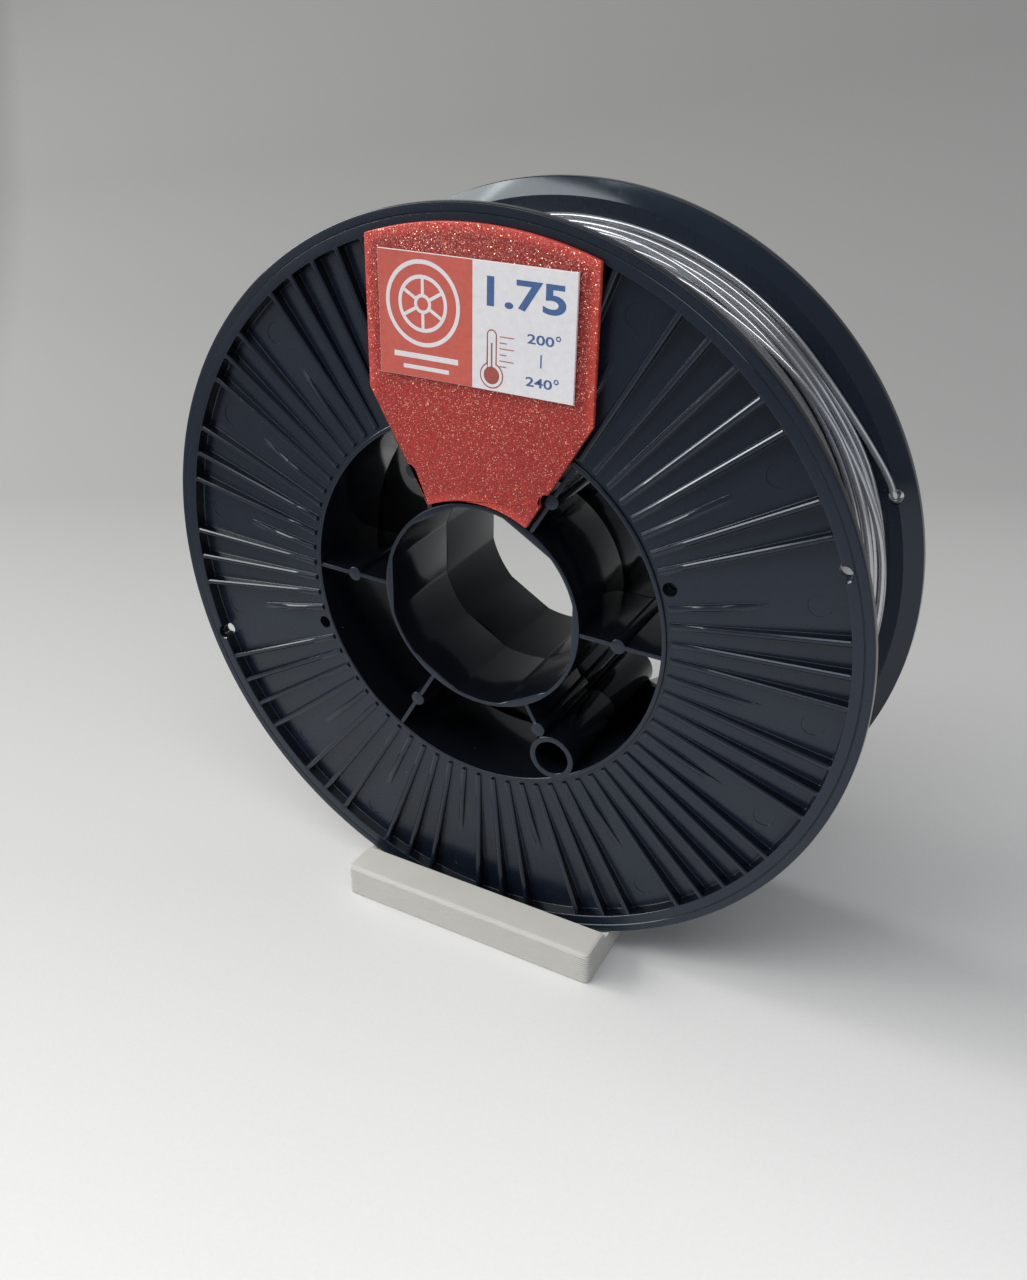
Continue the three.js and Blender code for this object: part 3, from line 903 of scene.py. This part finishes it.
def bar_of(stations, centre, sides=40):
    """A closed round bar parallel to the axis, from stations of (depth, radius)."""
    angles = [2 * math.pi * k / sides for k in range(sides)]
    x, z = centre
    return capped([
        [(x + radius * math.cos(a), depth, z + radius * math.sin(a)) for a in angles]
        for depth, radius in stations
    ])


def ejector_cutter(degrees):
    """A shallow disc set square to the sloping panel."""
    fall = PANEL_DEPTH_AT_RIM - PANEL_DEPTH_AT_DRUM
    slope = math.atan2(fall, PANEL_OUTER_RADIUS - DRUM_OUTER_RADIUS)
    stations = [(-0.6, EJECTOR_MARK_RADIUS + 0.3), (EJECTOR_MARK_DEPTH, EJECTOR_MARK_RADIUS)]
    disc = bar_of(stations, (0, 0), 64)
    tilt = Matrix.Rotation(slope, 4, "Z")
    place = Matrix.Translation((EJECTOR_MARK_PLACE, panel_depth(EJECTOR_MARK_PLACE), 0))
    return swung(moved(disc, place @ tilt), degrees)


holes = [hole_cutter(p, a) for a in HOLE_ANGLES for p in (DRUM_HOLE_PLACE, RIM_HOLE_PLACE)]
marks = [ejector_cutter(a) for a in SHORT_RIB_ANGLES]
both_halves("flange", cut(flange_mesh(), *holes, *marks), sharp=21)

# ---- Drum wall, hub, webs and key tube ----

SEAM_GAP = 0.04
seam = HALF_WIDTH - SEAM_GAP

both_halves("drum_wall", turned(rounded([
    (DRUM_INNER_RADIUS, 0, 0.35),
    (DRUM_OUTER_RADIUS, 0, 0.35),
    (DRUM_OUTER_RADIUS, seam, 0.1),
    (DRUM_INNER_RADIUS, seam, 0.15),
]), steps=360))


def bore_radius(degrees):
    """The bore's radius, with a flat centred on each web."""
    from_flat = abs((degrees + WEB_PITCH / 2) % WEB_PITCH - WEB_PITCH / 2)
    reach = min(from_flat, BORE_FLAT_HALF_ANGLE)
    return BORE_ACROSS_FLATS / 2 / math.cos(math.radians(reach))


def hub_mesh():
    """A tube whose outside is round and whose bore has flats."""
    steps = 360
    corner = rounded([(0, 0, 0.3), (1, 0, 0.3), (1, seam, 0.1), (0, seam, 0.15)])
    points = []
    for k in range(steps):
        angle = 2 * math.pi * k / steps
        inner = bore_radius(360 * k / steps)
        for share, depth in corner:
            radius = inner + (HUB_OUTER_RADIUS - inner) * share
            points.append((radius * math.cos(angle), depth, radius * math.sin(angle)))
    return mesh_of(points, grid_faces(steps, len(corner)))


both_halves("hub_tube", hub_mesh())

key_centre = polar(KEY_TUBE_PLACE, (KEY_WEB - 1) * WEB_PITCH)
key_tube = turned(rounded([
    (KEY_TUBE_INNER_RADIUS, 0.06, 0.3),
    (KEY_TUBE_OUTER_RADIUS, 0.06, 0.3),
    (KEY_TUBE_OUTER_RADIUS, seam, 0.1),
    (KEY_TUBE_INNER_RADIUS, seam, 0.1),
]), steps=96)
both_halves("key_tube", moved(key_tube, Matrix.Translation((key_centre.x, 0, key_centre.y))))


WEB_SINK = 0.5  # how far a web runs into the tubes it joins
WEB_DRUM_SINK = 0.4
KEY_BOSS_GAP = 0.3


def web_mesh(number):
    """One web along its own angle, with its ejector boss."""
    start = HUB_OUTER_RADIUS - WEB_SINK
    end = DRUM_INNER_RADIUS + WEB_DRUM_SINK
    boss_place = BOSS_PLACE
    if number == KEY_WEB:
        end = KEY_TUBE_PLACE - KEY_TUBE_OUTER_RADIUS + WEB_SINK
        boss_place = KEY_TUBE_PLACE - KEY_TUBE_OUTER_RADIUS - BOSS_RADIUS - KEY_BOSS_GAP
    half = WEB_THICKNESS / 2
    outline = [(start, -half), (end, -half), (end, half), (start, half)]
    bar = prism(outline, WEB_RECESS, seam, 0.22)
    circle = [polar(BOSS_RADIUS, 360 * k / 40) + Vector((boss_place, 0)) for k in range(40)]
    boss = prism(circle, WEB_RECESS / 2, seam, 0.2)
    return swung(joined(bar, boss), (number - 1) * WEB_PITCH)


for number in range(1, WEB_COUNT + 1):
    both_halves(f"web_{number}", web_mesh(number))

# ---- Label plate ----


NOTCH_STEPS = 12


def plate_outline():
    """Arcs at top and bottom, upright sides, then sides along the webs with a notch at each boss."""
    lean = math.radians(90 - WEB_PITCH)
    shift = PLATE_EDGE_TO_WEB / math.cos(lean)
    slant_top = (PLATE_HALF_WIDTH + shift) / math.tan(lean)
    top_angle = math.degrees(math.acos(PLATE_HALF_WIDTH / PLATE_TOP_RADIUS))
    bottom_angle = WEB_PITCH + math.degrees(math.asin(PLATE_EDGE_TO_WEB / PLATE_BOTTOM_RADIUS))
    along = polar(1, WEB_PITCH)
    notch_half = math.sqrt(PLATE_NOTCH_RADIUS ** 2 - PLATE_EDGE_TO_WEB ** 2)
    swing = math.degrees(math.atan2(PLATE_EDGE_TO_WEB, notch_half))
    boss = along * BOSS_PLACE
    right = [(PLATE_HALF_WIDTH, PLATE_TOP_RADIUS * math.sin(math.radians(top_angle)), 1.4)]
    right.append((PLATE_HALF_WIDTH, slant_top, 1.2))
    for k in range(NOTCH_STEPS + 1):
        turn = WEB_PITCH + swing + (180 - 2 * swing) * k / NOTCH_STEPS
        p = boss + polar(PLATE_NOTCH_RADIUS, turn)
        right.append((p.x, p.y, 0.3 if k in (0, NOTCH_STEPS) else 0))
    end = polar(PLATE_BOTTOM_RADIUS, bottom_angle)
    right.append((end.x, end.y, 0.6))
    left = [(-x, z, r) for x, z, r in reversed(right)]
    bottom_angles = np.linspace(bottom_angle, 180 - bottom_angle, 42)[1:-1]
    top_angles = np.linspace(180 - top_angle, top_angle, 62)[1:-1]
    bottom = [(*polar(PLATE_BOTTOM_RADIUS, angle), 0) for angle in bottom_angles]
    top = [(*polar(PLATE_TOP_RADIUS, angle), 0) for angle in top_angles]
    return rounded(right + bottom + left + top, steps=4)


plate = prism(plate_outline(), PLATE_FRONT, PLATE_BACK, bevel=0.3, steps=4)
shown("label_plate_sheet", plate, [RED], ["label_plate"])

# ---- Card and its print ----

CARD_CURL = 0.45
CARD_CURL_WIDTH = 16
CARD_EDGE = 0.07
CARD_SPLIT = -0.4
INK_LIFT = 0.02


def card_bow(x, z):
    """How far the card's face stands forward of flat: its left edge curls up a little."""
    from_left = np.clip((x + CARD_WIDTH / 2) / CARD_CURL_WIDTH, 0, 1)
    from_middle = (z - CARD_MIDDLE_HEIGHT) / (CARD_HEIGHT / 2)
    return -CARD_CURL * (1 - from_left) ** 2 * (0.55 + 0.45 * from_middle ** 2)


def rim_of(layer):
    """The vertices around the edge of a grid of them, in order."""
    first = [row[0] for row in layer]
    last = [row[-1] for row in reversed(layer[:-1])]
    return first + layer[-1][1:] + last + layer[0][-2:0:-1]


def card_mesh():
    """A thin sheet, red to the left of the split and white to its right."""
    across = np.linspace(-CARD_WIDTH / 2, CARD_WIDTH / 2, 65)
    xs = sorted(set(np.round(across, 4)) | {CARD_SPLIT})
    zs = np.linspace(-CARD_HEIGHT / 2, CARD_HEIGHT / 2, 25) + CARD_MIDDLE_HEIGHT
    whole = bmesh.new()
    layers = []
    for depth, inset in (
        (CARD_FRONT, CARD_EDGE), (CARD_FRONT + CARD_EDGE, 0),
        (CARD_BACK - CARD_EDGE, 0), (CARD_BACK, CARD_EDGE),
    ):
        layer = []
        for z in zs:
            row = []
            for x in xs:
                px = x - math.copysign(inset, x) if abs(x) > CARD_WIDTH / 2 - 0.01 else x
                pz = z - math.copysign(inset, z - CARD_MIDDLE_HEIGHT) if z in (zs[0], zs[-1]) else z
                row.append(whole.verts.new((px, depth + float(card_bow(px, pz)), pz)))
            layer.append(row)
        layers.append(layer)
    for layer in (layers[0], layers[-1]):
        for i in range(len(zs) - 1):
            for j in range(len(xs) - 1):
                corners = (layer[i][j], layer[i][j + 1], layer[i + 1][j + 1], layer[i + 1][j])
                face = whole.faces.new(corners)
                if layer is layers[0] and xs[j] < CARD_SPLIT - 0.001:
                    face.material_index = 1
    for upper, lower in zip(layers, layers[1:]):
        above, below = rim_of(upper), rim_of(lower)
        for k in range(len(above)):
            n = (k + 1) % len(above)
            whole.faces.new((above[k], above[n], below[n], below[k]))
    bmesh.ops.recalc_face_normals(whole, faces=whole.faces)
    return mesh_from(whole)


card = card_mesh()
card_faces = [p.material_index for p in card.polygons]
card_piece = shown("label_card_sheet", card, [WHITE_CARD, RED_CARD], ["label_card"])
card_piece.data.polygons.foreach_set("material_index", card_faces)


def on_card(points, lift=INK_LIFT):
    return [(x, CARD_FRONT - lift + float(card_bow(x, z)), z) for x, z in points]


def ink_patch(outline, lift=INK_LIFT):
    """A printed shape on the card, from its outline in X and Z."""
    shape = bmesh.new()
    shape.faces.new([shape.verts.new(p) for p in on_card(outline, lift)])
    bmesh.ops.triangulate(shape, faces=shape.faces)
    return mesh_from(shape)


def circle_at(centre, radius, steps):
    return [Vector(centre) + polar(radius, 360 * k / steps) for k in range(steps)]


def ink_ring(centre, outer, inner, steps=96):
    points = circle_at(centre, outer, steps) + circle_at(centre, inner, steps)
    faces = [(k, (k + 1) % steps, steps + (k + 1) % steps, steps + k) for k in range(steps)]
    return plain_mesh(on_card(points), faces)


def ink_bar(x0, x1, z0, z1, lift=INK_LIFT, cells=12):
    """A printed bar, in short lengths so that it follows the card."""
    xs = np.linspace(x0, x1, cells + 1)
    points = [(x, z0) for x in xs] + [(x, z1) for x in xs]
    faces = [(k, k + 1, cells + 2 + k, cells + 1 + k) for k in range(cells)]
    return plain_mesh(on_card(points, lift), faces)


def ink_number(characters, x0, x1, z0, z1, weight):
    """Figures from Blender's own font, fitted into a box."""
    curve = bpy.data.curves.new("figures", "FONT")
    curve.body = characters
    curve.offset = weight
    curve.resolution_u = 6
    mesh = final_mesh(linked("figures", curve))
    flat = np.array([v.co[:2] for v in mesh.vertices], float)
    low, high = flat.min(0), flat.max(0)
    for vertex, (u, v) in zip(mesh.vertices, (flat - low) / (high - low)):
        vertex.co = on_card([(x0 + (x1 - x0) * u, z0 + (z1 - z0) * v)])[0]
    return mesh


BADGE = (-13.65, 76.9)
SPOKE_PLACE = 4
SPOKE_HALF_LENGTH = 1.75
SPOKE_HALF_WIDTH = 0.4

badge = [ink_ring(BADGE, 10, 9), ink_ring(BADGE, 6.6, 5.7), ink_ring(BADGE, 2.3, 1.5, steps=48)]
for angle in range(30, 390, 60):
    middle = Vector(BADGE) + polar(SPOKE_PLACE, angle)
    out, side = polar(SPOKE_HALF_LENGTH, angle), polar(SPOKE_HALF_WIDTH, angle + 90)
    badge.append(ink_patch([
        middle - out - side, middle + out - side, middle + out + side, middle - out + side,
    ]))
badge.append(ink_bar(-21.7, -4.2, 63.9, 65.2))
badge.append(ink_bar(-19.2, -6.7, 61.3, 62.3))
shown("card_badge", joined(*badge), [WHITE_CARD])

figures = [
    ink_number("1.75", 3.3, 23.0, 78.6, 85.3, 0.022),
    ink_number("200", 13.7, 20.4, 71.7, 73.9, 0.016),
    ink_ring((21.4, 73.7), 0.62, 0.32, steps=32),
    ink_number("240", 13.5, 20.2, 62.0, 64.2, 0.016),
    ink_ring((21.2, 64.0), 0.62, 0.32, steps=32),
    ink_bar(17.1, 17.45, 66.6, 69.6, cells=1),
]
shown("card_figures", joined(*figures), [BLUE_INK])

TUBE_MIDDLE = 4.7
BULB_HEIGHT = 63.0
BULB_CORE_RADIUS = 2.05
LINE_HALF_WIDTH = 0.2
MARK_HALF_WIDTH = 0.11
INSIDE_LIFT = 1.6 * INK_LIFT
CORE_LIFT = 2.2 * INK_LIFT


def capsule(half, top, bulb):
    """A thermometer's outline: a narrow tube with a round top, on a round bulb."""
    neck = math.degrees(math.asin(half / bulb))
    low, high = Vector((TUBE_MIDDLE, BULB_HEIGHT)), Vector((TUBE_MIDDLE, top - half))
    around_bulb = [low + polar(bulb, angle) for angle in np.linspace(90 + neck, 450 - neck, 40)]
    return around_bulb + [high + polar(half, angle) for angle in np.linspace(0, 180, 16)]


gauge = [ink_patch(capsule(1.3, 73.6, 3.05))]
for mark_end, heights in ((10.4, (72.2, 69.5, 66.7)), (8.5, (70.8, 68.1, 65.4))):
    for z in heights:
        gauge.append(ink_bar(6.7, mark_end, z - MARK_HALF_WIDTH, z + MARK_HALF_WIDTH, cells=2))
bulb_core = circle_at((TUBE_MIDDLE, BULB_HEIGHT), BULB_CORE_RADIUS, 48)
gauge.append(ink_patch(bulb_core, CORE_LIFT))
gauge.append(ink_bar(
    TUBE_MIDDLE - LINE_HALF_WIDTH, TUBE_MIDDLE + LINE_HALF_WIDTH,
    BULB_HEIGHT + 2.02, 70.5, CORE_LIFT, cells=1,
))
shown("card_gauge", joined(*gauge), [BROWN_INK])
gauge_inside = ink_patch(capsule(1.0, 73.3, 2.75), INSIDE_LIFT)
shown("card_gauge_inside", gauge_inside, [WHITE_CARD])

# ---- Stand ----

SLOT_FRONT_DEPTH = -3.0
SLOT_REAR_DEPTH = 6.5
SLOT_RADIUS = 100.5
SADDLE_RADIUS = 94.5
SLOT_SIDES = 720
FOOT_ROUND = 0.4
SHOULDER_ROUND = 1.1
CORNER_ROUND = 1.8  # more than every inset of the rings together
TOP_INSET = 0.3
RING_COUNT = 101
LAYER_RIDGE = 0.16
LAYERS_END = 3.0  # how far from the bar's ends the layers stand out
LONG_SIDE_SHARES = (0.006, 0.02, 0.98, 0.994)  # extra points where the layers start to show
to_stand = Matrix.Translation((axis_point.x, front_low.y, axis_point.z)) @ Matrix.Scale(MM, 4)


def round_inset(radius, past):
    """How far a rounded edge draws in, at a distance past its start."""
    return radius - math.sqrt(max(0.0, radius ** 2 - max(0.0, past) ** 2))


def stand_mesh():
    """A bar of printed layers, with a curved slot for the front flange and a hollow behind it."""
    low = to_stand.inverted() @ stand_low
    high = to_stand.inverted() @ stand_high
    corners = [(low.x, low.y), (high.x, low.y), (high.x, high.y), (low.x, high.y)]
    plan = rounded([(x, y, CORNER_ROUND) for x, y in corners], steps=8)
    outline = []
    for here, there in zip(plan, plan[1:] + plan[:1]):
        outline.append(here)
        if abs(there.x - here.x) > CORNER_ROUND:
            outline += [here.lerp(there, share) for share in LONG_SIDE_SHARES]
    flat = np.array(outline)
    inward = inward_of(flat)
    ridge = LAYER_RIDGE * smooth((np.abs(flat[:, 0]) - (high.x - LAYERS_END)) / LAYERS_END)
    rings = []
    for z in np.linspace(low.z, high.z, RING_COUNT):
        inset = round_inset(SHOULDER_ROUND, z - (high.z - SHOULDER_ROUND))
        inset += round_inset(FOOT_ROUND, low.z + FOOT_ROUND - z)
        valley = 0.5 - 0.5 * math.cos(2 * math.pi * (z - low.z) / LAYER_PITCH)
        rings.append((z, inset + ridge * valley))
    rings.append((high.z, rings[-1][1] + TOP_INSET))
    bar = capped([[(x, y, z) for x, y in flat + inward * inset[:, None]] for z, inset in rings])
    slot_ends = [(SLOT_FRONT_DEPTH, SLOT_RADIUS), (SLOT_REAR_DEPTH, SLOT_RADIUS)]
    saddle_ends = [(0, SADDLE_RADIUS), (high.y + 5, SADDLE_RADIUS)]
    for ends in (slot_ends, saddle_ends):
        bar = cut(bar, bar_of(ends, (0, 0), SLOT_SIDES))
    return bar


shown(
    "stand_bar", stand_mesh(), [WHITE_PRINT], ["stand_block"],
    body="stand", place=to_stand,
)

# ---- Floor, backdrop and light ----

BACKDROP_HALF_WIDTH = 5.0
FLOOR_FRONT = -4.0
CURVE_START = 0.5
CURVE_RADIUS = 1.6
WALL_TOP = 5.0
CURVE_STEPS = 24

sweep = [(FLOOR_FRONT, 0.0), (CURVE_START, 0.0)]
for k in range(1, CURVE_STEPS + 1):
    bend = math.pi / 2 * k / CURVE_STEPS
    sweep.append((CURVE_START + CURVE_RADIUS * math.sin(bend), CURVE_RADIUS * (1 - math.cos(bend))))
sweep.append((CURVE_START + CURVE_RADIUS, WALL_TOP))
floor_mesh = plain_mesh(
    [(x, y, z) for x in (-BACKDROP_HALF_WIDTH, BACKDROP_HALF_WIDTH) for y, z in sweep],
    [(k, len(sweep) + k, len(sweep) + k + 1, k + 1) for k in range(len(sweep) - 1)],
)
floor_mesh.name = "floor"
floor_mesh.shade_smooth()
floor_mesh.materials.append(floor_finish())
floor = linked("floor", floor_mesh)

world = bpy.data.worlds.new("soft_room")
world.use_nodes = True
background = world.node_tree.nodes["Background"].inputs
background["Color"].default_value = (0.93, 0.965, 1.0, 1)
background["Strength"].default_value = 0.28
bpy.context.scene.world = world

# Large soft lights, aimed at the spool: name, place, size, power and colour.
LIGHTS = [
    ("window", (-2.3, 0.0, 1.35), (1.2, 1.2), 34, (1.0, 0.985, 0.96)),
    ("window_front", (-2.12, -0.88, 1.32), (1.2, 1.3), 38, (1.0, 0.98, 0.93)),
    ("side_wall", (-1.85, -1.8, 0.55), (1.2, 1.0), 5, (1.0, 0.99, 0.97)),
    ("far_wall", (2.2, -0.9, 0.9), (1.8, 1.4), 4.5, (0.85, 0.93, 1.0)),
    ("room", (0.3, -1.0, 2.15), (2.6, 0.7), 20, (0.98, 0.99, 1.0)),
    ("ceiling", (-1.25, -1.58, 1.62), (1.2, 0.5), 12, (1.0, 0.99, 0.95)),
]
for name, place, size, power, colour in LIGHTS:
    lamp = bpy.data.lights.new(name, "AREA")
    lamp.shape = "RECTANGLE"
    lamp.size, lamp.size_y = size
    lamp.energy = power
    lamp.color = colour
    light = linked(name, lamp)
    light.location = place
    light.rotation_mode = "QUATERNION"
    light.rotation_quaternion = (axis_point - Vector(place)).to_track_quat("-Z", "Y")
